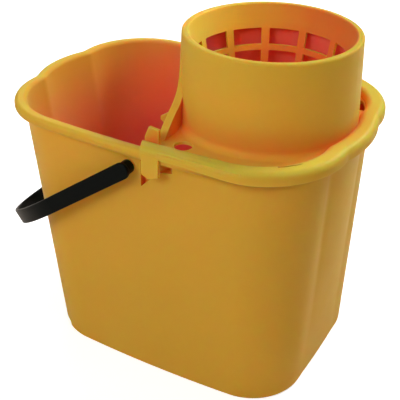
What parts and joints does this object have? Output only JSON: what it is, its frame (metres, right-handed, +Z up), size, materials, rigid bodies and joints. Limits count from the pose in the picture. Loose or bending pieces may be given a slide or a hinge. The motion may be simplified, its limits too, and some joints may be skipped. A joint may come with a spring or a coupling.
{
  "type": "mop bucket with wringer",
  "caption": "Free-standing moulded plastic mop bucket with pouring lips, a swinging bail handle and a clip-on wringer collar that holds a perforated cone strainer over one end.",
  "frame": {"origin": "on the standing face, at the middle of the bucket's foot", "axes": "+Z up, +X along the bucket from the open end towards the wringer, -Y towards the long side seen from the front"},
  "size_m": [0.4089, 0.2856, 0.3727],
  "materials": {
    "yellow_plastic": "satin moulded polypropylene, safety yellow",
    "black_plastic": "satin moulded polypropylene, black"
  },
  "bodies": {
    "bucket": {"bucket": "yellow_plastic"},
    "bail": {"bail_handle": "black_plastic"},
    "wringer": {"wringer_body": "yellow_plastic"},
    "strainer": {"strainer_cone": "yellow_plastic"}
  },
  "joints": [
    {"name": "bail_swing", "type": "hinge", "parent": "bucket", "child": "bail", "pos_m": [-0.0179, 0, 0.258], "axis": [0, 1, 0], "range_deg": [-13, 130]},
    {"name": "wringer_lift", "type": "slide", "parent": "bucket", "child": "wringer", "axis": [0, 0, 1], "range_m": [0, 0.09]},
    {"name": "strainer_lift", "type": "slide", "parent": "wringer", "child": "strainer", "axis": [0, 0, 1], "range_m": [0, 0.3]}
  ]
}
